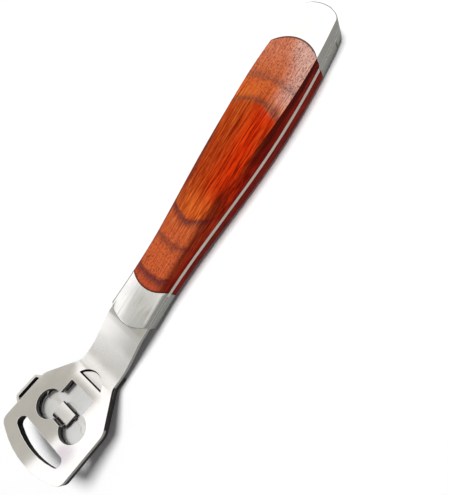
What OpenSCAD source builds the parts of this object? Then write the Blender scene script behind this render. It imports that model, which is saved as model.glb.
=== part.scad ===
// Callus shaver: a bent steel frame with a cutting head, and a wooden handle with steel ends.
// X runs from the butt to the head, Z is up, and the part lies on its belly and on the heel of its sole.

/* [Handle] */
// Length of the tang, from the butt to the front of the bolsters
tang_len = 121; // [112:1:130]
// Width of the handle at the butt
butt_w = 14.8; // [13:0.2:16]
// Width of the handle at its belly
belly_w = 21.8; // [20:0.2:24]
// Distance of the belly from the butt
belly_x = 44; // [38:1:50]
// Width of the handle at its waist
waist_w = 15.4; // [14.4:0.2:16.4]
// Distance of the waist from the front of the bolsters
waist_back = 16; // [14:1:22]
// Height of the upper half over the middle of the tang, at the belly
top_h = 4.9; // [4.2:0.1:5.6]
// Depth of the lower half under the middle of the tang, at the belly
bottom_h = 6.4; // [5.8:0.1:7]
// Height of the upper half over the middle of the tang, at the waist
waist_h = 3.6; // [3.2:0.1:4]
// Depth of the lower half under the middle of the tang, at the waist
waist_depth = 4.5; // [4:0.1:5]
// Plan width of the side facets of the upper half, at the belly
facet_w = 4.2; // [3:0.1:5]
// Radius of the corners of the butt
butt_r = 4.5; // [3:0.1:5]
// Radius of the bowed end of the butt
butt_bow = 12.5; // [11:0.5:20]
// Radius of the rounded upper and lower edge of the butt
butt_edge = 1; // [0.6:0.1:1.4]

/* [Wood] */
// Distance of the rear end of the wood from the butt
wood_rear = 13.4; // [11:0.2:17]
// Distance of the front end of the wood from the front of the bolsters
bolster_len = 14.2; // [13:0.2:17]
// Radius of the rear end of the wood
wood_rear_r = 12.6; // [12.4:0.1:16]
// Radius of the front end of the wood
wood_front_r = 11.7; // [10:0.1:15]
// Width of the joint line round the wood
joint_gap = 0.1; // [0.04:0.02:0.2]
// Radius of the rounded front of the bolsters, seen from above
bolster_r = 10.8; // [10:0.1:13]
// Radius of the rim of the bolsters
bolster_rim = 1.5; // [0.8:0.1:2]

/* [Frame] */
// Thickness of the frame's sheet
sheet_t = 1.8; // [1.5:0.1:2]
// Width of the neck
neck_w = 16.4; // [15:0.2:18]
// Level length of the neck, from the bolsters to the bend
neck_run = 15.5; // [14:0.5:20]
// Angle of the head over the level
head_pitch = 18; // [14:1:20]
// Radius of the bend at the bolsters, at the middle of the sheet
neck_bend_r = 12; // [8:0.5:15]
// Radius of the bend at the head, at the middle of the sheet
head_bend_r = 22; // [16:1:26]
// Distance of the shoulders from the bend
shoulder_u = 16.8; // [15:0.2:18]
// Radius of the bowed front of the head
front_r = 35; // [32:1:38]
// Length of the bowed front of the head, from its corners to its middle
front_slant = 6.2; // [5.6:0.2:7]

/* [Cut-outs] */
// Radius of the half-moon hole
moon_r = 6; // [5:0.1:6.4]
// Distance of the half-moon's straight edge from the rear edge of the blade
moon_back = 0.6; // [0.4:0.1:1]
// Depth of the half-moon hole
moon_depth = 3.8; // [3.2:0.1:4.2]
// Distance of the rear edge of the middle cut-out from the middle of the blade
cut_back = 8.2; // [7.8:0.1:8.6]
// Length of the straight part of the middle cut-out
cut_len = 12.7; // [12.1:0.1:13]
// Width of the straight part of the middle cut-out
cut_w = 11.8; // [11:0.1:12.6]
// Radius of the lobes of the middle cut-out
lobe_r = 4.9; // [4.4:0.1:5.1]
// Distance of the lobes from the middle line
lobe_y = 6.2; // [5.8:0.1:6.8]
// Width of the shaving window
window_w = 22.6; // [20:0.2:24]
// Length of the shaving window at its middle
window_len = 5.4; // [4.8:0.1:5.8]
// Length of the bowed front of the window, from its corners to its middle
window_slant = 3.8; // [3:0.1:4]
// Width of the bar between the window and the front of the head
window_bar = 4.4; // [3.8:0.1:5]

/* [Sole] */
// Height of the sole tray under the sheet
tray_h = 2.4; // [2.1:0.1:3]
// Thickness of the floor of the sole tray
floor_t = 1.1; // [0.9:0.1:1.3]
// Thickness of the walls of the sole tray
wall_t = 0.9; // [0.7:0.1:1.2]
// How far the tray's walls lie inside the edge of the head
wall_inset = 0.2; // [0.1:0.05:0.4]
// Width of the open front of the sole tray
front_gap = 17; // [14:0.5:20]
// How far the thumb ear stands out from the head
ear_out = 2.6; // [2:0.1:3.2]
// Length of the thumb ear
ear_len = 12.6; // [11:0.2:14]
// Thickness of the thumb ear
ear_t = 0.9; // [0.7:0.1:1.1]
// Width of the hook that holds the blade
hook_w = 6.8; // [6:0.1:7.4]
// Clearance on each side of the root of the hook in the blade's hole
hook_side_gap = 0.8; // [0.5:0.1:1.1]
// Thickness of the hook
hook_t = 0.8; // [0.6:0.1:0.9]
// Clearance between the tray's catch and the half-moon hole
catch_gap = 0.4; // [0.2:0.05:0.6]
// Depth of the top of the hook and of the catch under the top of the head
hook_drop = 1.1; // [0.9:0.05:1.3]
// Clearance between the ear and the edge of the head
ear_gap = 0.15; // [0.1:0.05:0.3]

/* [Blade] */
// Thickness of the blade
blade_t = 0.3; // [0.2:0.05:0.4]
// Distance between the two cutting edges
blade_w = 22; // [21:0.2:22.6]
// Length of the cutting edges
edge_len = 19.2; // [18:0.2:19.2]
// Distance of the rear edge of the blade from the bend
blade_rear = 9; // [8.8:0.1:9.6]
// How much of the blade's front edge shows in the window
edge_show = 1; // [0.4:0.1:1.4]
// Clearance between the ends of the blade and the tray's walls
blade_play = 1.9; // [1.4:0.1:2.4]
// Length of the blade over its end tabs
blade_len = 26; // [25:0.2:27]
// Width of the end tabs
blade_tab_w = 12.4; // [11:0.2:14]
// Diameter of the blade's centre hole
blade_hole_d = 5.8; // [5.6:0.1:6.2]

/* [Pins] */
// Diameter of the hidden pins
pin_d = 3; // [2.4:0.1:3.4]
// Length of the hidden pins in each half
pin_reach = 2.2; // [1.6:0.1:2.4]
// Clearance round the pins
pin_gap = 0.05; // [0.02:0.01:0.1]

/* [Hidden] */

steel = "silver";
bright_steel = "gainsboro";
wood = "chocolate";

arc_fn = 64;
round_steps = 7;
form_steps = 46;

// Distances from the butt
wood_front = tang_len - bolster_len;
waist_x = tang_len - waist_back;
rear_pin = 16.6;
front_pin = 18.8;
pin_xs = [wood_rear + rear_pin, wood_front - front_pin];
bolster_pin_x = (wood_front + tang_len) / 2;
cap_pin_x = wood_rear / 2 + 1;

// Distances along the head from the bend
blade_u = blade_rear + blade_w / 2;
moon_u = blade_rear - moon_back;
cut_u = blade_u - cut_back;
lobe_back = 2.4;
lobe_u = cut_u + cut_len - lobe_back;
window_rear = blade_rear + blade_w - edge_show;
head_len = window_rear + window_len + window_bar;
head_w = blade_len + 2 * (wall_t + wall_inset + blade_play);
// Where the straight flank begins, and the shoulder at which it clears the blade's rear corners
flank_u = 4.6;
flank_play = 0.31;
flank_y = edge_len / 2 + wall_inset + wall_t + flank_play - neck_w / 2;
shoulder_at = min(shoulder_u, flank_u + (head_w - neck_w) / 2 * (blade_rear - flank_u) / max(1, flank_y));
ear_start = 0.8;
ear_u = shoulder_at + ear_start;

// Depth of the sole under the top of the head
sole_drop = sheet_t + tray_h;
floor_top = -sole_drop + floor_t;

// Middle of the tang over the ground
tang_z = bottom_h;
// Height of the top of the sheet where the head begins, with the heel of the sole on the ground
bend_z = sole_drop * cos(head_pitch);
bend_x = tang_len + neck_run;
overall_len = bend_x + (head_len - wall_inset) * cos(head_pitch) + sole_drop * sin(head_pitch);
// A height that reaches past every part of the handle
cut_h = overall_len / 3;

// Moves from the butt's own place to the middle of the whole part
module placed() {
    translate([-overall_len / 2, ear_out / 2, 0]) children();
}

// Moves from the head's own plane, its origin at the bend and its top at zero, to its place
module on_head() {
    translate([bend_x, 0, bend_z]) rotate([0, -head_pitch, 0]) children();
}

function mix(a, b, t) = a + (b - a) * t;
function unit(t) = min(1, max(0, t));
function ease(t) = t * t * (3 - 2 * t);
function turned(v) = [-v.y, v.x];
function heading(v) = v / norm(v);

// An outline with rounded corners: each corner is [x, y, radius]
function corner_arc(a, b, c) =
    let (
        p = [b.x, b.y],
        d1 = heading([a.x, a.y] - p),
        d2 = heading([c.x, c.y] - p),
        half = acos(min(1, max(-1, d1 * d2))) / 2,
        reach = b.z / tan(half),
        middle = p + heading(d1 + d2) * b.z / sin(half),
        start = p + d1 * reach - middle,
        side = sign(cross(d1, d2)),
        sweep = side * (180 - 2 * half)
    )
    b.z == 0 ? [p] : [for (i = [0:round_steps])
        let (t = -sweep * i / round_steps)
        middle + [start.x * cos(t) - start.y * sin(t), start.x * sin(t) + start.y * cos(t)]];

function rounded(pts) =
    let (n = len(pts))
    [for (i = [0:n - 1]) each corner_arc(pts[(i + n - 1) % n], pts[i], pts[(i + 1) % n])];

// The same corners moved inwards, for an outline that runs counter-clockwise
function inset(pts, d) =
    let (n = len(pts))
    [for (i = [0:n - 1])
        let (
            a = pts[(i + n - 1) % n],
            b = pts[i],
            c = pts[(i + 1) % n],
            n1 = turned(heading([b.x - a.x, b.y - a.y])),
            n2 = turned(heading([c.x - b.x, c.y - b.y])),
            turn = sign(cross(heading([b.x - a.x, b.y - a.y]), heading([c.x - b.x, c.y - b.y]))),
            p = [b.x, b.y] + (n1 + n2) * d / (1 + n1 * n2)
        )
        [p.x, p.y, b.z == 0 ? 0 : max(0.2, b.z - turn * d)]];

// Half the width of the handle
function half_w(x) =
    x < belly_x ? (belly_w - (belly_w - butt_w) * pow((belly_x - x) / belly_x, 2)) / 2
    : x < waist_x ? mix(belly_w, waist_w, ease((x - belly_x) / (waist_x - belly_x))) / 2
    : mix(waist_w, neck_w, ease(unit((x - waist_x) / (tang_len - waist_x)))) / 2;

// Height of a half of the handle, which is h at the belly and thins towards the butt and the waist
butt_share = 0.9;
function half_h(x, h, low) =
    x < belly_x ? mix(butt_share * h, h, ease(x / belly_x))
    : mix(h, low, ease(unit((x - belly_x) / (waist_x - belly_x))));

// Plan width of the side facet, narrow at both ends of the wood and wide in front of the belly
facet_end = 0.6;
facet_front = 1.5;
facet_peak = 0.8;
function facet_at(x, w) =
    let (top_x = mix(wood_rear, wood_front, facet_peak))
    x < top_x ? mix(min(w, facet_end), w, pow(sin(90 * unit((x - wood_rear) / (top_x - wood_rear))), 1.8))
    : mix(w, min(w, facet_front), ease(unit((x - top_x) / (wood_front - top_x))));

// How far the side facet is rounded: nearly flat as far as the belly, a soft round at the waist
facet_bulge = 0.2;
function softness(x) = mix(facet_bulge, 1, ease(unit((x - 1.6 * belly_x) / (waist_x - 1.6 * belly_x))));

// One cross section of a half, from its left edge over the top to its right edge
section_n = 7;
crown = 0.35;
function section(x, h, low, w, edge) =
    let (
        hw = half_w(x),
        hh = half_h(x, h, low),
        f = facet_at(x, w),
        e = min(edge, 0.8 * hh),
        soft = softness(x),
        right = [for (i = [0:section_n])
            let (t = i / section_n, a = 90 * t)
            [hw - f * mix(t, 1 - cos(a), soft), e + (hh - crown - e) * mix(t, sin(a), soft)]],
        top = [for (i = [1:4])
            let (y = (hw - f) * (1 - i / 4))
            [y, hh - crown * pow(y / (hw - f), 2)]]
    )
    concat([[hw, 0]], right, top,
        [for (i = [3:-1:1]) [-top[i - 1].x, top[i - 1].y]],
        [for (i = [section_n:-1:0]) [-right[i].x, right[i].y]],
        [[-hw, 0]]);

// The loft of one half of the handle, standing on the level
module half_form(h, low, w, edge) {
    rings = [for (i = [0:form_steps]) section(tang_len * i / form_steps, h, low, w, edge)];
    n = len(rings[0]);
    points = [for (i = [0:form_steps]) for (p = rings[i]) [tang_len * i / form_steps, p.x, p.y]];
    sides = [for (i = [0:form_steps - 1]) for (k = [0:n - 1])
        let (k2 = (k + 1) % n)
        each [[i * n + k, (i + 1) * n + k, (i + 1) * n + k2], [i * n + k, (i + 1) * n + k2, i * n + k2]]];
    ends = [[for (k = [0:n - 1]) k], [for (k = [n - 1:-1:0]) form_steps * n + k]];
    polyhedron(points, concat(sides, ends), convexity = 6);
}

// The plan of the wood, with its rounded ends; grow widens it for the joint line
module wood_plan(grow) {
    rear_x = wood_rear + wood_rear_r;
    front_x = wood_front - wood_front_r;
    translate([rear_x, 0]) circle(wood_rear_r + grow, $fn = arc_fn);
    translate([front_x, 0]) circle(wood_front_r + grow, $fn = arc_fn);
    translate([rear_x, -wood_front_r - grow]) square([front_x - rear_x, 2 * (wood_front_r + grow)]);
}

// The corners of the butt's outline, from the left side round its bowed end to the right side
butt_steps = 3;
bow_steps = 8;
bow_share = 0.45;
function bow_x(y) = butt_bow - sqrt(pow(butt_bow, 2) - y * y);
function butt_corners() =
    let (
        x = tang_len * butt_steps / form_steps,
        corner_y = butt_w / 2,
        bow_y = bow_share * corner_y,
        bow = [for (i = [0:bow_steps]) let (y = mix(bow_y, -bow_y, i / bow_steps)) [bow_x(y), y, 0]]
    )
    concat([[x, half_w(x), 0], [bow_x(corner_y), corner_y, butt_r]], bow,
        [[bow_x(corner_y), -corner_y, butt_r], [x, -half_w(x), 0]]);

// A block over the butt's outline whose upper edge is rounded, h high
module butt_block(h) {
    edge_steps = 5;
    rings = concat([[0, 0]], [for (i = [0:edge_steps]) let (a = 90 * i / edge_steps)
        [butt_edge * (1 - cos(a)), h - butt_edge * (1 - sin(a))]]);
    outlines = [for (r = rings) rounded(inset(butt_corners(), r.x))];
    n = len(outlines[0]);
    points = [for (k = [0:len(rings) - 1]) for (p = outlines[k]) [p.x, p.y, rings[k].y]];
    last = (len(rings) - 1) * n;
    sides = [for (k = [0:len(rings) - 2]) for (i = [0:n - 1])
        let (i2 = (i + 1) % n)
        each [[k * n + i, (k + 1) * n + i, (k + 1) * n + i2], [k * n + i, (k + 1) * n + i2, k * n + i2]]];
    ends = [[for (i = [0:n - 1]) i], [for (i = [n - 1:-1:0]) last + i]];
    polyhedron(points, concat(sides, ends), convexity = 4);
}

// One half's solids are built on the level and then seated on the tang's upper face
module seated_half(lower) {
    placed() translate([0, 0, tang_z]) mirror([0, 0, lower ? 1 : 0])
        translate([0, 0, sheet_t / 2]) children();
}

lower_facet = 1.4;
lower_edge = 0.72;
upper_edge = 0.6;
module full_half(lower) {
    reach = (lower ? bottom_h : top_h) - sheet_t / 2;
    low = (lower ? waist_depth : waist_h) - sheet_t / 2;
    half_form(reach, low, lower ? lower_facet : facet_w, lower ? reach * lower_edge : upper_edge);
}

module pin_holes(xs) {
    for (x = xs) translate([x, 0, -1])
        cylinder(d = pin_d + 2 * pin_gap, h = pin_reach + 1 + pin_gap, $fn = arc_fn);
}

module wood_scale(lower) {
    color(wood) seated_half(lower) difference() {
        intersection() {
            full_half(lower);
            linear_extrude(cut_h) wood_plan(0);
        }
        pin_holes(pin_xs);
    }
}

module cap(lower) {
    butt_x = tang_len * butt_steps / form_steps - 1;
    color(bright_steel) seated_half(lower) difference() {
        intersection() {
            full_half(lower);
            union() {
                butt_block(butt_share * ((lower ? bottom_h : top_h) - sheet_t / 2));
                translate([butt_x, -belly_w, 0]) cube([wood_rear + wood_rear_r - butt_x, 2 * belly_w, cut_h]);
            }
        }
        translate([0, 0, -1]) linear_extrude(cut_h) wood_plan(joint_gap);
        pin_holes([cap_pin_x]);
    }
}

// The rounded front of a bolster: a disc with a rounded rim
module bolster_nose(h) {
    rotate_extrude($fn = arc_fn) {
        square([bolster_r - bolster_rim, h]);
        square([bolster_r, h - bolster_rim]);
        translate([bolster_r - bolster_rim, h - bolster_rim]) circle(bolster_rim, $fn = arc_fn);
    }
}

module bolster(lower) {
    nose_x = tang_len - bolster_r;
    color(bright_steel) seated_half(lower) difference() {
        intersection() {
            full_half(lower);
            union() {
                translate([nose_x, 0, 0]) bolster_nose((lower ? waist_depth : waist_h) - sheet_t / 2);
                translate([0, -belly_w, 0]) cube([nose_x, 2 * belly_w, cut_h]);
            }
        }
        translate([0, 0, -1]) linear_extrude(cut_h) wood_plan(joint_gap);
        translate([-1, -belly_w, -1]) cube([wood_front - wood_front_r + 1, 2 * belly_w, cut_h]);
        pin_holes([bolster_pin_x]);
    }
}

// The corners of an edge that bows forwards to u, w wide, slant long and with rounded ends
function bowed(u, w, slant, r, end_r) =
    let (
        slope = atan(w / 2 / slant),
        bow_r = min(r, (norm([slant, w / 2]) - end_r) * tan(slope)),
        tip = u + bow_r * (1 / sin(slope) - 1)
    )
    [[tip - slant, -w / 2, end_r], [tip, 0, bow_r], [tip - slant, w / 2, end_r]];

// The corners of the head, counter-clockwise from the right shoulder
shoulder_r = 5;
head_corner_r = 3;
function head_corners() = concat([[shoulder_at, -head_w / 2, shoulder_r]],
    bowed(head_len, head_w, front_slant, front_r, head_corner_r), [[shoulder_at, head_w / 2, shoulder_r]]);

// The corners of the flare on one side, from inside the neck out to the shoulder
function flare(s) =
    let (a = [2, s * (neck_w / 2 - 0.6), 0], b = [5.4, s * (neck_w / 2 + 0.25), 4])
    s < 0 ? [a, b] : [b, a];

// The outline of the sole tray, d inside the edge of the head
module tray_outline(d) {
    heel = [0, neck_w / 2, 0];
    flank = [flank_u, neck_w / 2, 5];
    polygon(rounded(inset(concat(
        [[heel.x, -heel.y, 0], [flank.x, -flank.y, flank.z]], head_corners(), [flank, heel]), d)));
}

module moon(d) {
    intersection() {
        translate([moon_u - moon_depth + moon_r, 0]) circle(moon_r - d, $fn = arc_fn);
        translate([moon_u - moon_depth - 1, -moon_r]) square([moon_depth + 1 - d, 2 * moon_r]);
    }
}

module middle_cut() {
    translate([cut_u, -cut_w / 2]) square([cut_len, cut_w]);
    for (s = [-1, 1]) translate([lobe_u, s * lobe_y]) circle(lobe_r, $fn = arc_fn);
}

window_rear_r = 2;
window_front_r = 1.5;
function window_corners() = concat([[window_rear, -window_w / 2, window_rear_r]],
    bowed(window_rear + window_len, window_w, window_slant, front_r - window_bar, window_front_r),
    [[window_rear, window_w / 2, window_rear_r]]);

// Side view of the whole sheet: the level tang, the neck with its two bends and the pitched head
module sheet_side() {
    steps = 8;
    b = [bend_x + sheet_t / 2 * sin(head_pitch), bend_z - sheet_t / 2 * cos(head_pitch)];
    // The neck is the tangent from b to the arc at the bolsters
    d = b - [tang_len, tang_z - neck_bend_r];
    dip = atan2(d.x, d.y) - acos(neck_bend_r / norm(d));
    arc1 = [for (i = [0:steps]) let (t = dip * i / steps)
        [tang_len + neck_bend_r * sin(t), tang_z - neck_bend_r * (1 - cos(t)), -t]];
    reach = head_bend_r * tan((dip + head_pitch) / 2);
    start2 = b - reach * [cos(dip), -sin(dip)];
    arc2 = [for (i = [0:steps]) let (t = -dip + (dip + head_pitch) * i / steps)
        [start2.x + head_bend_r * (sin(t) + sin(dip)), start2.y + head_bend_r * (cos(dip) - cos(t)), t]];
    end = b + 2 * head_len * [cos(head_pitch), sin(head_pitch)];
    path = concat([[-belly_w, tang_z, 0]], arc1, arc2, [[end.x, end.y, head_pitch]]);
    upper = [for (p = path) [p.x - sheet_t / 2 * sin(p.z), p.y + sheet_t / 2 * cos(p.z)]];
    under = [for (i = [len(path) - 1:-1:0])
        [path[i].x + sheet_t / 2 * sin(path[i].z), path[i].y - sheet_t / 2 * cos(path[i].z)]];
    polygon(concat(upper, under));
}

// The outline of the tang and the neck from above, up to where the flare of the head takes over
join_x = bend_x + 6;
module tang_plan() {
    left = concat([[join_x, neck_w / 2, 0]],
        [for (i = [form_steps:-1:butt_steps + 1]) let (x = tang_len * i / form_steps) [x, half_w(x), 0]]);
    right = [for (i = [len(left) - 1:-1:0]) [left[i].x, -left[i].y, 0]];
    polygon(rounded(concat(left, butt_corners(), right)));
}

module frame() {
    color(steel) placed() {
        difference() {
            intersection() {
                translate([0, head_w, 0]) rotate([90, 0, 0]) linear_extrude(2 * head_w) sheet_side();
                union() {
                    linear_extrude(cut_h) tang_plan();
                    on_head() translate([0, 0, -neck_run]) linear_extrude(2 * neck_run)
                        polygon(rounded(concat(flare(-1), head_corners(), flare(1))));
                }
            }
            on_head() translate([0, 0, -2 * sheet_t]) linear_extrude(3 * sheet_t) {
                moon(0);
                middle_cut();
                polygon(rounded(window_corners()));
            }
            for (x = concat(pin_xs, [bolster_pin_x, cap_pin_x]))
                translate([x, 0, tang_z - sheet_t])
                    cylinder(d = pin_d + 2 * pin_gap, h = 2 * sheet_t, $fn = arc_fn);
        }
    }
}

// The thumb ear: a strip that stands out from the left wall and returns to it
module ear() {
    y0 = -head_w / 2 + wall_inset + ear_t / 2;
    y1 = -head_w / 2 - ear_out;
    slope = ear_out * 0.7;
    outer = [[ear_u, y0, 0], [ear_u + slope, y1, 1.2], [ear_u + ear_len - slope, y1, 1.2],
        [ear_u + ear_len, y0, 0]];
    inner = [[ear_u + ear_len - 1.3 * ear_t, y0, 0],
        [ear_u + ear_len - slope - 0.4 * ear_t, y1 + ear_t, 0.5],
        [ear_u + slope + 0.4 * ear_t, y1 + ear_t, 0.5], [ear_u + 1.3 * ear_t, y0, 0]];
    polygon(rounded(concat(outer, inner)));
}

// Side view of the hook: up through the blade's hole, then forwards and down on the blade
sunk = 0.3;
hook_root_w = blade_hole_d - 2 * hook_side_gap;
hook_back = 1.45;
hook_u = blade_u - hook_back;
module hook_side() {
    under = -hook_drop - hook_t;
    tip_len = 1.8;
    bend_u = cut_u + cut_len - tip_len;
    tip_u = bend_u + tip_len;
    tip_z = floor_top + blade_t + 0.05;
    polygon(rounded([[hook_u, floor_top - sunk, 0], [hook_u + hook_t, floor_top - sunk, 0],
        [hook_u + hook_t, under, 0.3], [bend_u, under, 1], [tip_u, tip_z, 0],
        [tip_u + 0.5, tip_z + 0.5, 0], [bend_u + 0.3, -hook_drop, 1.5], [hook_u, -hook_drop, 0.9]]));
}

module sole_tray() {
    rear_u = 0.3;
    // The wall is cut away at the heel, which is open to the neck
    heel_reach = 5;
    // The opening in the floor that the hook was bent out of
    hook_slot = 7.4;
    hook_play = 0.2;
    // Depth of the top of the ear under the top of the head
    ear_drop = 0.6;
    color(bright_steel) placed() on_head() {
        difference() {
            translate([0, 0, -sole_drop]) linear_extrude(sole_drop - sheet_t) tray_outline(wall_inset);
            translate([0, 0, floor_top]) linear_extrude(sole_drop) tray_outline(wall_inset + wall_t);
            translate([-heel_reach, -neck_w / 2 + wall_inset + wall_t, floor_top])
                cube([2 * heel_reach, neck_w - 2 * (wall_inset + wall_t), sole_drop]);
            translate([-heel_reach, -head_w, -2 * sole_drop])
                cube([heel_reach + rear_u, 2 * head_w, 4 * sole_drop]);
            translate([head_corners()[1].x, -front_gap / 2, floor_top])
                cube([2 * front_slant, front_gap, sole_drop]);
            translate([0, 0, -2 * sole_drop]) linear_extrude(3 * sole_drop)
                polygon(rounded(inset(window_corners(), -0.5)));
            translate([hook_u + hook_t, -hook_w / 2 - hook_play, -2 * sole_drop])
                cube([hook_slot, hook_w + 2 * hook_play, 3 * sole_drop]);
        }
        difference() {
            translate([0, 0, -sole_drop]) linear_extrude(sole_drop - ear_drop) ear();
            translate([0, 0, -sheet_t]) linear_extrude(sole_drop) tray_outline(-ear_gap);
        }
        translate([0, hook_root_w / 2, 0]) rotate([90, 0, 0]) linear_extrude(hook_root_w) hook_side();
        intersection() {
            translate([0, hook_w / 2, 0]) rotate([90, 0, 0]) linear_extrude(hook_w) hook_side();
            translate([0, -hook_w, -hook_drop - hook_t]) cube([head_len, 2 * hook_w, sole_drop]);
        }
        translate([0, 0, floor_top - sunk]) linear_extrude(sunk - floor_top - hook_drop) moon(catch_gap);
    }
}

function blade_corners() = [
    [blade_u - blade_w / 2, -edge_len / 2, 0],
    [blade_u - blade_tab_w / 2, -edge_len / 2, 0],
    [blade_u - blade_tab_w / 2, -blade_len / 2, 1],
    [blade_u + blade_tab_w / 2, -blade_len / 2, 1],
    [blade_u + blade_tab_w / 2, -edge_len / 2, 0],
    [blade_u + blade_w / 2, -edge_len / 2, 0],
    [blade_u + blade_w / 2, edge_len / 2, 0],
    [blade_u + blade_tab_w / 2, edge_len / 2, 0],
    [blade_u + blade_tab_w / 2, blade_len / 2, 1],
    [blade_u - blade_tab_w / 2, blade_len / 2, 1],
    [blade_u - blade_tab_w / 2, edge_len / 2, 0],
    [blade_u - blade_w / 2, edge_len / 2, 0]
];

module blade() {
    slot_w = 1.2;
    end_hole_d = 3.4;
    end_hole_run = 0.6;
    end_hole_y = blade_len / 2 - 3.7;
    color(steel) placed() on_head() translate([0, 0, floor_top]) linear_extrude(blade_t) difference() {
        polygon(rounded(blade_corners()));
        translate([blade_u, 0]) circle(d = blade_hole_d, $fn = arc_fn);
        translate([blade_u - slot_w / 2, -end_hole_y]) square([slot_w, 2 * end_hole_y]);
        for (s = [-1, 1]) translate([blade_u, s * end_hole_y]) {
            for (t = [-end_hole_run, end_hole_run]) translate([0, t]) circle(d = end_hole_d, $fn = arc_fn);
            translate([-end_hole_d / 2, -end_hole_run]) square([end_hole_d, 2 * end_hole_run]);
        }
    }
}

module pins(xs) {
    color(steel) placed() for (x = xs)
        translate([x, 0, tang_z - sheet_t / 2 - pin_reach])
            cylinder(d = pin_d, h = sheet_t + 2 * pin_reach, $fn = arc_fn);
}

frame();
wood_scale(false);  // upper_scale
wood_scale(true);  // lower_scale
bolster(false);  // upper_bolster
bolster(true);  // lower_bolster
cap(false);  // upper_cap
cap(true);  // lower_cap
sole_tray();
blade();
pins(pin_xs);  // scale_pins
pins([bolster_pin_x]);  // bolster_pin
pins([cap_pin_x]);  // cap_pin
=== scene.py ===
import math

import bpy
from mathutils import Matrix, Vector


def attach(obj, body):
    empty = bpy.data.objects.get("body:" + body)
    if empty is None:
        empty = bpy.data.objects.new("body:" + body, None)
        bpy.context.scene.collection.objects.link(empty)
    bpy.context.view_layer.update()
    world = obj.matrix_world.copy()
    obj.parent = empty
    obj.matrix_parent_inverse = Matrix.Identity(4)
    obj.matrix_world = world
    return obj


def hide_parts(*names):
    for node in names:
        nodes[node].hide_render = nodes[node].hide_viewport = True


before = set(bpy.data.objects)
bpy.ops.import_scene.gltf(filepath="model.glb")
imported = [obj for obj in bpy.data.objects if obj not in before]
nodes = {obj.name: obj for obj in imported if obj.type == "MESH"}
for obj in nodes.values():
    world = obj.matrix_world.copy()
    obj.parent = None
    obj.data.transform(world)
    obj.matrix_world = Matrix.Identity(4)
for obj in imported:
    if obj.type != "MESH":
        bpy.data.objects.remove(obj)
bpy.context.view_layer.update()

middleY = 0.0013  # the handle's middle line, which the thumb ear keeps off zero


# Camera: stands over the handle on the side away from the thumb ear

camera = {
    "place": (-0.012331, 0.075740, 0.132735),
    "right": (-0.53861, 0.75249, -0.37901),
    "up": (-0.84142, -0.50379, 0.19550),
    "back": (-0.04383, 0.42421, 0.90450),
    "lens": 32.120,
    "sensor": 36,
    "clip": (0.005, 20),
}


def addCamera():
    data = bpy.data.cameras.new("camera")
    data.lens = camera["lens"]
    data.sensor_width = camera["sensor"]
    data.clip_start, data.clip_end = camera["clip"]
    eye = bpy.data.objects.new("camera", data)
    bpy.context.scene.collection.objects.link(eye)
    turn = Matrix([camera["right"], camera["up"], camera["back"]]).transposed()
    eye.matrix_world = Matrix.Translation(camera["place"]) @ turn.to_4x4()
    bpy.context.scene.camera = eye
    bpy.context.scene.view_settings.view_transform = "Standard"
    print("camera placed")


# Node helpers

def newMaterial(name):
    material = bpy.data.materials.new(name)
    material.use_nodes = True
    tree = material.node_tree
    tree.nodes.clear()
    output = tree.nodes.new("ShaderNodeOutputMaterial")
    shader = tree.nodes.new("ShaderNodeBsdfPrincipled")
    tree.links.new(shader.outputs["BSDF"], output.inputs["Surface"])
    return material, tree, shader


def addNode(tree, kind, **values):
    node = tree.nodes.new(kind)
    for name, value in values.items():
        if hasattr(node, name):
            setattr(node, name, value)
        else:
            node.inputs[name].default_value = value
    return node


def mathNode(tree, operation, *values, clamp=False):
    node = addNode(tree, "ShaderNodeMath", operation=operation, use_clamp=clamp)
    for socket, value in zip(node.inputs, values):
        if isinstance(value, (int, float)):
            socket.default_value = value
        else:
            tree.links.new(value, socket)
    return node.outputs["Value"]


def product(tree, first, *others):
    for other in others:
        first = mathNode(tree, "MULTIPLY", first, other)
    return first


# From 0 at the span's first end to 1 at its second, whichever is the larger
def smoothStep(tree, value, span):
    node = addNode(tree, "ShaderNodeMapRange", interpolation_type="SMOOTHSTEP")
    tree.links.new(value, node.inputs["Value"])
    node.inputs["From Min"].default_value = span[0]
    node.inputs["From Max"].default_value = span[1]
    return node.outputs["Result"]


def rampNode(tree, factor, stops):
    node = tree.nodes.new("ShaderNodeValToRGB")
    elements = node.color_ramp.elements
    while len(elements) < len(stops):
        elements.new(0.5)
    for element, (place, color) in zip(elements, stops):
        element.position = place
        element.color = (*color, 1)
    tree.links.new(factor, node.inputs["Fac"])
    return node.outputs["Color"]


# A mix node's factor and its two colours are its sockets 0, 6 and 7, and its colour leaves by 2
def mixColor(tree, factor, a, b, blend="MIX"):
    node = addNode(tree, "ShaderNodeMix", data_type="RGBA", blend_type=blend)
    for socket, value in ((node.inputs[0], factor), (node.inputs[6], a), (node.inputs[7], b)):
        if isinstance(value, (int, float)):
            socket.default_value = value
        elif isinstance(value, tuple):
            socket.default_value = (*value, 1)
        else:
            tree.links.new(value, socket)
    return node.outputs[2]


def objectCoords(tree):
    return tree.nodes.new("ShaderNodeTexCoord").outputs["Object"]


def splitAxes(tree, vector):
    split = tree.nodes.new("ShaderNodeSeparateXYZ")
    tree.links.new(vector, split.inputs["Vector"])
    return split.outputs["X"], split.outputs["Y"], split.outputs["Z"]


def noiseNode(tree, coords, scale, detail, rough):
    noise = addNode(tree, "ShaderNodeTexNoise", Scale=scale, Detail=detail, Roughness=rough)
    tree.links.new(coords, noise.inputs["Vector"])
    return noise.outputs["Fac"]


def stretchedNoise(tree, coords, scale, detail, rough):
    stretch = addNode(tree, "ShaderNodeMapping", Scale=scale)
    tree.links.new(coords, stretch.inputs["Vector"])
    return noiseNode(tree, stretch.outputs["Vector"], 1.0, detail, rough)


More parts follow.
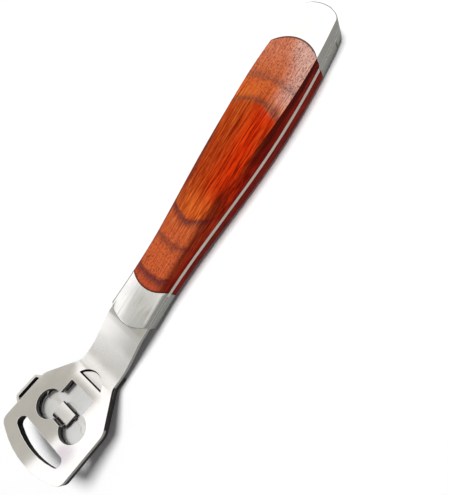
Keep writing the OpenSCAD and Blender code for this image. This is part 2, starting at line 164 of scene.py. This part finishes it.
def addBump(tree, shader, height, strength, distance):
    bump = addNode(tree, "ShaderNodeBump", Strength=strength, Distance=distance)
    tree.links.new(height, bump.inputs["Height"])
    tree.links.new(bump.outputs["Normal"], shader.inputs["Normal"])


# Polishing marks: fine scratches along the part and faint smudges, shared by every steel

polish = {"marks": (1.0, 4.0, 0.6), "smudge": (120.0, 3.0, 0.55)}  # scale, detail, roughness


def makePolishGroup():
    group = bpy.data.node_groups.new("polishMarks", "ShaderNodeTree")
    face = group.interface
    for name in ("Length", "Across"):
        face.new_socket(name, in_out="INPUT", socket_type="NodeSocketFloat")
    for name in ("Marks", "Smudge"):
        face.new_socket(name, in_out="OUTPUT", socket_type="NodeSocketFloat")
    given = group.nodes.new("NodeGroupInput")
    made = group.nodes.new("NodeGroupOutput")
    coords = objectCoords(group)
    stretch = group.nodes.new("ShaderNodeCombineXYZ")
    for name, axis in (("Length", "X"), ("Across", "Y"), ("Across", "Z")):
        group.links.new(given.outputs[name], stretch.inputs[axis])
    scaled = addNode(group, "ShaderNodeVectorMath", operation="MULTIPLY")
    group.links.new(coords, scaled.inputs[0])
    group.links.new(stretch.outputs["Vector"], scaled.inputs[1])
    marks = noiseNode(group, scaled.outputs["Vector"], *polish["marks"])
    group.links.new(marks, made.inputs["Marks"])
    group.links.new(noiseNode(group, coords, *polish["smudge"]), made.inputs["Smudge"])
    return group


# Steels: rough is the mirror's blur, spread and marks how much the smudges and scratches
# change it, worn the share of the colour that is left in a smudge. Length and across are the
# scratches' scale along the part and over it. Zones are spans along the handle, each with the
# roughness that begins there: the sheet is a mirror on the head, dull in the bend and satin
# along the neck.

usualSteel = {
    "metal": 1.0,
    "specular": 0.3,
    "marks": 0.04,
    "worn": 0.94,
    "smudges": (0.35, 0.62),
    "relief": 0.00001,
    "zones": (),
}
steels = {
    "mirrorSteel": {
        "color": (0.90, 0.89, 0.875), "rough": 0.07, "spread": 0.05,
        "length": 60.0, "across": 2400.0, "bump": 0.05,
    },
    "satinSteel": {
        "color": (0.88, 0.88, 0.865), "rough": 0.23, "spread": 0.06,
        "length": 80.0, "across": 2200.0, "bump": 0.03,
    },
    "sheetSteel": {
        "color": (0.90, 0.89, 0.875), "rough": 0.050, "spread": 0.05,
        "length": 90.0, "across": 1800.0, "bump": 0.05, "marks": 0.03, "worn": 0.95,
        "zones": (((0.0565, 0.0515), 0.265), ((0.0440, 0.0400), 0.135)),
    },
    "pressedSteel": {
        "color": (0.70, 0.69, 0.67), "rough": 0.17, "spread": 0.10,
        "length": 90.0, "across": 1500.0, "bump": 0.08,
    },
    # Near black: painted shade for the dark reflections in the walls of the cut-outs and the tray
    "paintedShadeSteel": {
        "color": (0.014, 0.013, 0.012), "rough": 0.36, "spread": 0.12,
        "length": 2500.0, "across": 2500.0, "bump": 0.12, "metal": 0.2,
    },
    # Pale and half diffuse: a painted highlight that makes the softened cut edges thin bright lines
    "paintedHighlightRim": {
        "color": (0.95, 0.94, 0.92), "rough": 0.30, "spread": 0.10,
        "length": 90.0, "across": 900.0, "bump": 0.05, "metal": 0.45,
    },
    "tangEdge": {
        "color": (0.74, 0.69, 0.60), "rough": 0.42, "spread": 0.15,
        "length": 120.0, "across": 1500.0, "bump": 0.20, "metal": 0.35,
    },
    "bladeSteel": {
        "color": (0.66, 0.67, 0.67), "rough": 0.22, "spread": 0.10,
        "length": 2600.0, "across": 160.0, "bump": 0.10,
    },
}


def makeSteel(name, group):
    made = {**usualSteel, **steels[name]}
    material, tree, shader = newMaterial(name)
    shader.inputs["Metallic"].default_value = made["metal"]
    shader.inputs["Specular IOR Level"].default_value = made["specular"]
    marks = addNode(tree, "ShaderNodeGroup", node_tree=group)
    marks.inputs["Length"].default_value = made["length"]
    marks.inputs["Across"].default_value = made["across"]
    smudge, scratches = marks.outputs["Smudge"], marks.outputs["Marks"]

    smudged, clean = made["smudges"]
    darker = tuple(made["worn"] * part for part in made["color"])
    tint = rampNode(tree, smudge, [(smudged, darker), (clean, made["color"])])
    tree.links.new(tint, shader.inputs["Base Color"])

    rough = made["rough"] - 0.5 * made["spread"]
    last = made["rough"]
    for span, zoneRough in made["zones"]:
        x, _, _ = splitAxes(tree, objectCoords(tree))
        rough = mathNode(tree, "MULTIPLY_ADD", smoothStep(tree, x, span), zoneRough - last, rough)
        last = zoneRough
    rough = mathNode(tree, "MULTIPLY_ADD", smudge, made["spread"], rough)
    rough = mathNode(tree, "MULTIPLY_ADD", scratches, made["marks"], rough, clamp=True)
    tree.links.new(rough, shader.inputs["Roughness"])
    addBump(tree, shader, scratches, made["bump"], made["relief"])
    return material


# Wood: dyed layers that meet in dark arcs across the top, near both ends. Each arc has its
# place along the handle, how fast it bows, which is below zero at the rear, and how dark it
# is. A noise is its scale along the three axes, its detail and its roughness, and a span is
# the two places where a step begins and ends.

arcs = {
    "places": {
        "rearOuter": (-0.0583, -14.0, 0.50),
        "rearInner": (-0.0505, -34.0, 0.75),
        "frontInner": (-0.0073, 50.0, 0.90),
        "frontMiddle": (0.0019, 24.0, 0.65),
        "frontOuter": (0.0144, 30.0, 0.92),
    },
    "wave": (260.0, 5.0, 0.65),
    "waveReach": 0.0030,
    "leanSide": (-0.001, 0.003),  # the front arcs bow faster on this side of the middle
    "lean": 0.6,
    "rise": (-0.00104, 0.00039),  # outward over the arc: where it darkens, and where it clears
    "fall": (0.00364, 0.00026),
    "speckle": ((900, 1500, 1500), 3.0, 0.6),
    "speckleSpan": (0.38, 0.56),
    "faint": 0.60,  # what is left of an arc where it is faintest
}

# Colours of the wood: its dyes, arcs, pores and seams, with a painted sheen and the sides' painted
# shade
woodColorsAndPaintedLight = {
    "red": (0.56, 0.026, 0.0012),
    "umber": (0.42, 0.048, 0.006),
    "orange": (0.60, 0.110, 0.018),
    "dull": (0.55, 0.130, 0.036),
    "brick": (0.55, 0.105, 0.032),
    "wine": (0.45, 0.070, 0.026),
    "pale": (0.58, 0.160, 0.070),
    # A painted sheen: the lacquer's pinkish glare towards the cap, put into the colour
    "paintedSheen": (0.66, 0.42, 0.35),
    "arc": (0.085, 0.020, 0.022),
    "pore": (0.12, 0.03, 0.025),
    # side and ridge: painted shade on the handle's sides, nearly black under the top's edge
    "side": (0.25, 0.010, 0.0035),
    "paintedRidgeShade": (0.03, 0.004, 0.002),
    "seam": (0.05, 0.012, 0.010),
}

wood = {
    "across": (-0.0045, 0.0055),
    "flame": (-0.022, -0.010),
    "butt": (-0.060, -0.070),
    # The painted sheen: where it lies across the top and along the handle, and how it widens next
    # to the cap
    "paintedSheenSide": (0.0010, 0.0085),
    "paintedSheenAlong": (-0.046, -0.058),
    "paintedSheenWiden": (-0.062, -0.074),  # the shine reaches further over next to the cap
    "paintedSheenWider": 0.0045,
    "blotch": ((35, 220, 220), 3.0, 0.6),
    "blotchSpan": (0.50, 0.75),
    # Where each dye lies over the ones before it, and how much of it. The sheen among them is a
    # painted highlight, not a dye
    "tints": (("flame", "orange", 0.80), ("ends", "orange", 1.0), ("frontInner", "brick", 0.80),
              ("rearOuter", "dull", 0.80), ("frontOuter", "wine", 0.85), ("butt", "pale", 1.0),
              ("paintedSheen", "paintedSheen", 0.80), ("blotch", "orange", 0.50)),
    "grain": ((90, 2700, 2700), 4.0, 0.78),
    "streaks": ((0.36, (0.13, 0.06, 0.05)), (0.46, (0.58, 0.42, 0.36)),
                (0.53, (1.0, 1.0, 1.0)), (0.62, (1.2, 1.75, 1.6))),
    "rearEnd": (-0.048, -0.058),
    "frontEnd": (-0.010, 0.004),
    "streaked": (0.95, -0.6),  # the streaks' share in the middle, and what the ends add to it
    "pores": ((1300, 2100, 2100), 3.0, 0.65),
    "poreSpan": (0.51, 0.60),
    "poreShare": 0.72,
    # Where the sides' painted shade lies: the tilt over which it sets in, and the shoulder onto
    # which it reaches
    "flank": (0.06, 0.35),
    "shoulderSide": (0.0040, 0.0064),
    "shoulderAlong": (-0.034, -0.014),
    "shoulderShare": 0.85,
    "sideStreaks": 0.95,
    "paintedRidgeShadeUp": (0.0084, 0.0099),
    "paintedRidgeShadeShare": 0.78,
    "rearSeam": (-0.07433, 41.5),
    "frontSeam": (0.01907, 45.7),
    "seamSpan": (0.00065, 0.00025),
    "seamShare": 0.85,
    "rough": 0.45,
    "specular": 0.04,
    "coat": (0.02, 0.4),
    "coatAlong": (-0.048, -0.070),
    "coatRough": 0.14,
    "bump": 0.4,
    "relief": 0.00005,
}


# The arcs' dark lines, and for each arc how far a place lies outside it
def makeArcs(tree, coords, x, side, squared):
    wave = mathNode(tree, "SUBTRACT", noiseNode(tree, coords, *arcs["wave"]), 0.5)
    wavy = mathNode(tree, "MULTIPLY_ADD", wave, arcs["waveReach"], x)
    leanSide = smoothStep(tree, side, arcs["leanSide"])
    leaning = product(tree, squared, mathNode(tree, "MULTIPLY_ADD", leanSide, arcs["lean"], 1.0))
    dark = None
    outside = {}
    for name, (apex, bow, strength) in arcs["places"].items():
        bowed = mathNode(tree, "MULTIPLY_ADD", leaning if bow > 0 else squared, bow, wavy)
        out = product(tree, mathNode(tree, "SUBTRACT", bowed, apex), math.copysign(1.0, bow))
        outside[name] = smoothStep(tree, out, arcs["rise"])
        mark = product(tree, outside[name], smoothStep(tree, out, arcs["fall"]), strength)
        dark = mathNode(tree, "MAXIMUM", dark, mark) if dark else mark
    speckle = smoothStep(tree, stretchedNoise(tree, coords, *arcs["speckle"]), arcs["speckleSpan"])
    uneven = mathNode(tree, "MULTIPLY_ADD", speckle, 1 - arcs["faint"], arcs["faint"])
    return product(tree, dark, uneven), outside


# Lays the dyes over each other, and paints the lacquer's sheen near the cap as a highlight
def dyeWoodAndPaintSheen(tree, coords, x, side, outside):
    widen = smoothStep(tree, x, wood["paintedSheenWiden"])
    edged = mathNode(tree, "MULTIPLY_ADD", widen, wood["paintedSheenWider"], side)
    blotches = stretchedNoise(tree, coords, *wood["blotch"])
    masks = {
        **outside,
        "flame": smoothStep(tree, x, wood["flame"]),
        "ends": mathNode(tree, "MAXIMUM", outside["rearInner"], outside["frontInner"]),
        "butt": smoothStep(tree, x, wood["butt"]),
        "paintedSheen": product(tree, smoothStep(tree, edged, wood["paintedSheenSide"]),
                         smoothStep(tree, x, wood["paintedSheenAlong"])),
        "blotch": smoothStep(tree, blotches, wood["blotchSpan"]),
    }
    across = smoothStep(tree, side, wood["across"])
    color = mixColor(tree, across, woodColorsAndPaintedLight["umber"], woodColorsAndPaintedLight["red"])
    for mask, dye, share in wood["tints"]:
        color = mixColor(tree, product(tree, masks[mask], share), color, woodColorsAndPaintedLight[dye])
    return color


# 1 on the sides, and on the shoulder towards the waist: where the sides' painted shade lies, and
# where the lacquer's coat is left off
def makeFlank(tree, x, side):
    tilt = addNode(tree, "ShaderNodeAttribute", attribute_name="tilt").outputs["Fac"]
    paintedShoulderShade = product(tree, smoothStep(tree, side, wood["shoulderSide"]),
                       smoothStep(tree, x, wood["shoulderAlong"]), wood["shoulderShare"])
    return mathNode(tree, "MAXIMUM", smoothStep(tree, tilt, wood["flank"]), paintedShoulderShade)


# Dark line where the wood meets the cap and the bolster
def makeSeams(tree, x, squared):
    (rearX, rearBow), (frontX, frontBow) = wood["rearSeam"], wood["frontSeam"]
    fromRear = mathNode(tree, "MULTIPLY_ADD", squared, -rearBow,
                        mathNode(tree, "SUBTRACT", x, rearX))
    fromFront = mathNode(tree, "MULTIPLY_ADD", squared, -frontBow,
                         mathNode(tree, "SUBTRACT", frontX, x))
    nearest = mathNode(tree, "MINIMUM", fromRear, fromFront)
    return product(tree, smoothStep(tree, nearest, wood["seamSpan"]), wood["seamShare"])


def makeWood(name):
    material, tree, shader = newMaterial(name)
    coords = objectCoords(tree)
    x, y, z = splitAxes(tree, coords)
    side = mathNode(tree, "SUBTRACT", y, middleY)
    squared = product(tree, side, side)
    dark, outside = makeArcs(tree, coords, x, side, squared)
    color = dyeWoodAndPaintSheen(tree, coords, x, side, outside)

    # Grain: long fine streaks in the middle, short dark pores towards both ends
    grain = stretchedNoise(tree, coords, *wood["grain"])
    streaks = rampNode(tree, grain, wood["streaks"])
    ends = mathNode(tree, "MAXIMUM", smoothStep(tree, x, wood["rearEnd"]),
                    smoothStep(tree, x, wood["frontEnd"]))
    middle, change = wood["streaked"]
    streaked = mathNode(tree, "MULTIPLY_ADD", ends, change, middle)
    color = mixColor(tree, streaked, color, streaks, "MULTIPLY")
    color = mixColor(tree, dark, color, woodColorsAndPaintedLight["arc"])
    pores = smoothStep(tree, stretchedNoise(tree, coords, *wood["pores"]), wood["poreSpan"])
    color = mixColor(tree, product(tree, pores, ends, wood["poreShare"]), color, woodColorsAndPaintedLight["pore"])

    # Sides: a painted shade darkens them, nearly black under the ridge that the top's edge makes
    flank = makeFlank(tree, x, side)
    paintedRidgeShade = product(tree, smoothStep(tree, z, wood["paintedRidgeShadeUp"]), wood["paintedRidgeShadeShare"])
    paintedSideShade = mixColor(tree, wood["sideStreaks"], woodColorsAndPaintedLight["side"], streaks, "MULTIPLY")
    paintedSideShade = mixColor(tree, paintedRidgeShade, paintedSideShade, woodColorsAndPaintedLight["paintedRidgeShade"])
    color = mixColor(tree, flank, color, paintedSideShade)
    color = mixColor(tree, makeSeams(tree, x, squared), color, woodColorsAndPaintedLight["seam"])
    tree.links.new(color, shader.inputs["Base Color"])

    # Lacquer: its shine grows towards the cap, and the sides have none
    shader.inputs["Roughness"].default_value = wood["rough"]
    shader.inputs["Specular IOR Level"].default_value = wood["specular"]
    least, most = wood["coat"]
    nearCap = smoothStep(tree, x, wood["coatAlong"])
    coat = mathNode(tree, "MULTIPLY_ADD", nearCap, most - least, least)
    coat = product(tree, coat, mathNode(tree, "SUBTRACT", 1.0, flank))
    tree.links.new(coat, shader.inputs["Coat Weight"])
    shader.inputs["Coat Roughness"].default_value = wood["coatRough"]
    addBump(tree, shader, grain, wood["bump"], wood["relief"])
    return material


# Pieces: each stands for its CAD node, with merged points, softened edges and its finishes.
# Edge is the softened edge's width in metres. Flat, smooth and sharp are angles in degrees:
# faces that turn by less than flat are joined, less than smooth are shaded as one, and edges
# that turn by more than sharp are softened. With flat at 0 no faces are joined.

merging = 0.000006  # points closer than this become one
edgeSegments = 2
finishes = {}


def copyNode(name, pieceName, values):
    bpy.ops.object.select_all(action="DESELECT")
    piece = bpy.data.objects.new(pieceName, nodes[name].data.copy())
    bpy.context.scene.collection.objects.link(piece)
    piece.select_set(True)
    bpy.context.view_layer.objects.active = piece
    bpy.ops.object.mode_set(mode="EDIT")
    bpy.ops.mesh.select_all(action="SELECT")
    bpy.ops.mesh.remove_doubles(threshold=merging)
    if values["flat"]:
        bpy.ops.mesh.dissolve_limited(angle_limit=math.radians(values["flat"]))
    bpy.ops.object.mode_set(mode="OBJECT")
    bpy.ops.object.shade_smooth_by_angle(angle=math.radians(values["smooth"]))
    return piece


def softenEdges(piece, values, slot=-1):
    bpy.context.view_layer.objects.active = piece
    bevel = piece.modifiers.new("edges", "BEVEL")
    bevel.width = values["edge"]
    bevel.segments = edgeSegments
    bevel.limit_method = "ANGLE"
    bevel.angle_limit = math.radians(values["sharp"])
    bevel.use_clamp_overlap = True
    bevel.harden_normals = True
    bevel.material = slot
    bpy.ops.object.modifier_apply(modifier=bevel.name)


def finishPiece(piece, name, names, choose=None):
    piece.data.materials.clear()
    for finish in names:
        piece.data.materials.append(finishes[finish])
    for polygon in piece.data.polygons:
        polygon.material_index = names.index(choose(polygon)) if choose else 0
    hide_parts(name)
    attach(piece, "root")


frameSheet = {
    "edge": 0.00032, "flat": 0.5, "smooth": 30, "sharp": 35,
    "finishes": ("sheetSteel", "paintedShadeSteel", "paintedHighlightRim", "tangEdge"),
    "level": 0.6,  # a face whose normal points up or down by more than this is a flat one
    "cut": (0.0500, 0.0832),
    "cutHalf": 0.0119,
    "wood": (-0.0705, 0.0170),
}


# The walls of the cut-outs get a near-black painted shade, and the tang's edge is dull beside the
# wood
def chooseSheetFinish(polygon):
    middle = polygon.center
    if abs(polygon.normal.z) > frameSheet["level"]:
        return "sheetSteel"
    if frameSheet["wood"][0] < middle.x < frameSheet["wood"][1]:
        return "tangEdge"
    inCut = frameSheet["cut"][0] < middle.x < frameSheet["cut"][1]
    if inCut and abs(middle.y - middleY) < frameSheet["cutHalf"]:
        return "paintedShadeSteel"
    return "sheetSteel"


def makeFrameSheet():
    piece = copyNode("frame", "frame_sheet", frameSheet)
    names = frameSheet["finishes"]
    finishPiece(piece, "frame", names, chooseSheetFinish)
    # The softened edges take the painted highlight finish
    softenEdges(piece, frameSheet, names.index("paintedHighlightRim"))
    print("frame sheet finished")


soleTray = {
    "edge": 0.00014, "flat": 0.5, "smooth": 30, "sharp": 35,
    "finishes": ("pressedSteel", "paintedShadeSteel"),
    "level": 0.6,
    "earY": -0.0148,
    "inward": 0.5,
}


# The tray's walls get the near-black painted shade, but not the outer face of the ear
def chooseTrayFinish(polygon):
    middle, normal = polygon.center, polygon.normal
    upright = abs(normal.z) < soleTray["level"]
    # dark marks the walls that take the painted shade
    dark = middle.y > soleTray["earY"] or normal.y > soleTray["inward"]
    return "paintedShadeSteel" if upright and dark else "pressedSteel"


def makeSoleTray():
    piece = copyNode("sole_tray", "sole_tray_pressed", soleTray)
    names = soleTray["finishes"]
    finishPiece(piece, "sole_tray", names, chooseTrayFinish)
    softenEdges(piece, soleTray, names.index("pressedSteel"))
    print("sole tray finished")


fittings = {"edge": 0.00012, "flat": 0.15, "smooth": 32, "sharp": 38}


def makeFittings():
    for name in ("upper_bolster", "lower_bolster", "upper_cap", "lower_cap"):
        piece = copyNode(name, name + "_polished", fittings)
        finish = "satinSteel" if "bolster" in name else "mirrorSteel"
        finishPiece(piece, name, (finish,))
        softenEdges(piece, fittings)
    print("bolsters and caps finished")


scales = {"edge": 0.00010, "flat": 0, "smooth": 32, "sharp": 38}


def makeScales():
    for name in ("upper_scale", "lower_scale"):
        piece = copyNode(name, name + "_wood", scales)
        tilt = piece.data.attributes.new("tilt", "FLOAT", "FACE")
        for polygon, value in zip(piece.data.polygons, tilt.data):
            value.value = 1 - abs(polygon.normal.z)
        finishPiece(piece, name, ("redWood",))
        softenEdges(piece, scales)
    print("wood scales finished")


# The blade and the pins keep their CAD shape
plainNodes = {
    "blade": "bladeSteel",
    "scale_pins": "mirrorSteel",
    "bolster_pin": "mirrorSteel",
    "cap_pin": "mirrorSteel",
}


def dressNodes():
    for name, finish in plainNodes.items():
        nodes[name].data.materials.clear()
        nodes[name].data.materials.append(finishes[finish])
    print("plain nodes dressed")


# Room: a plain pale floor that mirrors show darker as a painted shade, one soft lamp and a studio
# whose white ceiling has the grey fields, the lilac patch and the grey wedge that the steel shows.
# Places on the ceiling are where a direction meets a height of one.

room = {
    "floorColor": (0.93, 0.93, 0.925),
    # The floor as mirrors see it: darker, a painted shade in the steel's reflections
    "floorPaintedShadeInMirrors": (0.24, 0.24, 0.225),
    "floorSize": 6.0,
    "floorRough": 0.8,
    "floorSpecular": 0.1,
    "ambient": (0.15, 0.15, 0.16),
    "white": (1.22, 1.20, 1.19),
    "horizon": (0.30, 0.30, 0.28),
    "horizonUp": (0.05, 0.40),
    "lowest": 0.02,
}
patch = {
    "color": (0.80, 0.72, 0.80),
    "middle": (0.01, -0.434),
    "stretch": (30.0, 38.0),
    "edge": (1.0, 0.1),
}
nearField = {
    "color": (0.51, 0.49, 0.44),
    "left": (-0.126, -0.114),
    "right": (0.125, 0.075),
    "front": (-0.468, -0.478),
    "rear": (-0.645, -0.615),
}
farField = {
    "color": (0.40, 0.386, 0.335),
    "left": (0.17, 0.23),
    "right": (0.50, 0.42),
    "rear": (-0.82, -0.68),
}
wedge = {
    "color": (0.50, 0.495, 0.47),
    "left": (0.36, 0.46),
    "rear": (-0.580, -0.540),
    "slant": 0.23,
}
dimming = {
    "color": (0.5, 0.5, 0.5),
    "left": (0.80, 1.15),
    "share": 0.06,
}
lamp = {"place": (-0.13, -0.08, 1.08), "size": 0.50, "power": 11.9}


# How much of a field lies at a place of the ceiling, from the sides that the field has
def fieldMask(tree, field, skyX, skyY):
    steps = [smoothStep(tree, skyX, field[name]) for name in ("left", "right") if name in field]
    steps += [smoothStep(tree, skyY, field[name]) for name in ("front", "rear") if name in field]
    return product(tree, *steps)


def patchMask(tree, skyX, skyY):
    squares = []
    for place, middle, stretch in zip((skyX, skyY), patch["middle"], patch["stretch"]):
        off = mathNode(tree, "MULTIPLY_ADD", place, stretch, -stretch * middle)
        squares.append(product(tree, off, off))
    return smoothStep(tree, mathNode(tree, "ADD", *squares), patch["edge"])


def makeStudio():
    world = bpy.data.worlds.new("studio")
    world.use_nodes = True
    tree = world.node_tree
    tree.nodes.clear()
    output = tree.nodes.new("ShaderNodeOutputWorld")
    background = tree.nodes.new("ShaderNodeBackground")
    tree.links.new(background.outputs["Background"], output.inputs["Surface"])
    towards = tree.nodes.new("ShaderNodeTexCoord").outputs["Generated"]
    x, y, z = splitAxes(tree, towards)
    height = mathNode(tree, "MAXIMUM", z, room["lowest"])
    skyX = mathNode(tree, "DIVIDE", x, height)
    skyY = mathNode(tree, "DIVIDE", y, height)
    slanted = mathNode(tree, "MULTIPLY_ADD", skyX, wedge["slant"], skyY)
    layers = (
        (patchMask(tree, skyX, skyY), patch["color"]),
        (fieldMask(tree, nearField, skyX, skyY), nearField["color"]),
        (fieldMask(tree, farField, skyX, skyY), farField["color"]),
        (fieldMask(tree, wedge, skyX, slanted), wedge["color"]),
        (product(tree, fieldMask(tree, dimming, skyX, skyY), dimming["share"]), dimming["color"]),
    )
    ceiling = room["white"]
    for mask, color in layers:
        ceiling = mixColor(tree, mask, ceiling, color)
    seen = mixColor(tree, smoothStep(tree, z, room["horizonUp"]), room["horizon"], ceiling)
    path = tree.nodes.new("ShaderNodeLightPath")
    color = mixColor(tree, path.outputs["Is Diffuse Ray"], seen, room["ambient"])
    tree.links.new(color, background.inputs["Color"])
    bpy.context.scene.world = world


def makeFloor():
    bpy.ops.object.select_all(action="DESELECT")
    bpy.ops.mesh.primitive_plane_add(size=room["floorSize"], location=(0, 0, 0))
    floor = bpy.context.active_object
    floor.name = "floor"
    material, tree, shader = newMaterial("paleFloor")
    path = tree.nodes.new("ShaderNodeLightPath")
    # Glossy rays see the floor darker: a painted shade in the steel's reflections
    color = mixColor(tree, path.outputs["Is Glossy Ray"], room["floorColor"], room["floorPaintedShadeInMirrors"])
    tree.links.new(color, shader.inputs["Base Color"])
    shader.inputs["Roughness"].default_value = room["floorRough"]
    shader.inputs["Specular IOR Level"].default_value = room["floorSpecular"]
    floor.data.materials.append(material)


def addLamp():
    data = bpy.data.lights.new("key", "AREA")
    data.shape = "DISK"
    data.size = lamp["size"]
    data.energy = lamp["power"]
    key = bpy.data.objects.new("key", data)
    key.visible_glossy = False
    bpy.context.scene.collection.objects.link(key)
    key.location = lamp["place"]
    key.rotation_euler = (-Vector(lamp["place"])).to_track_quat("-Z", "Y").to_euler()


addCamera()
makeFloor()
makeStudio()
addLamp()
print("floor and lights added")

polishGroup = makePolishGroup()
for name in steels:
    finishes[name] = makeSteel(name, polishGroup)
finishes["redWood"] = makeWood("redWood")
print("materials made")

makeFrameSheet()
makeSoleTray()
makeFittings()
makeScales()
dressNodes()
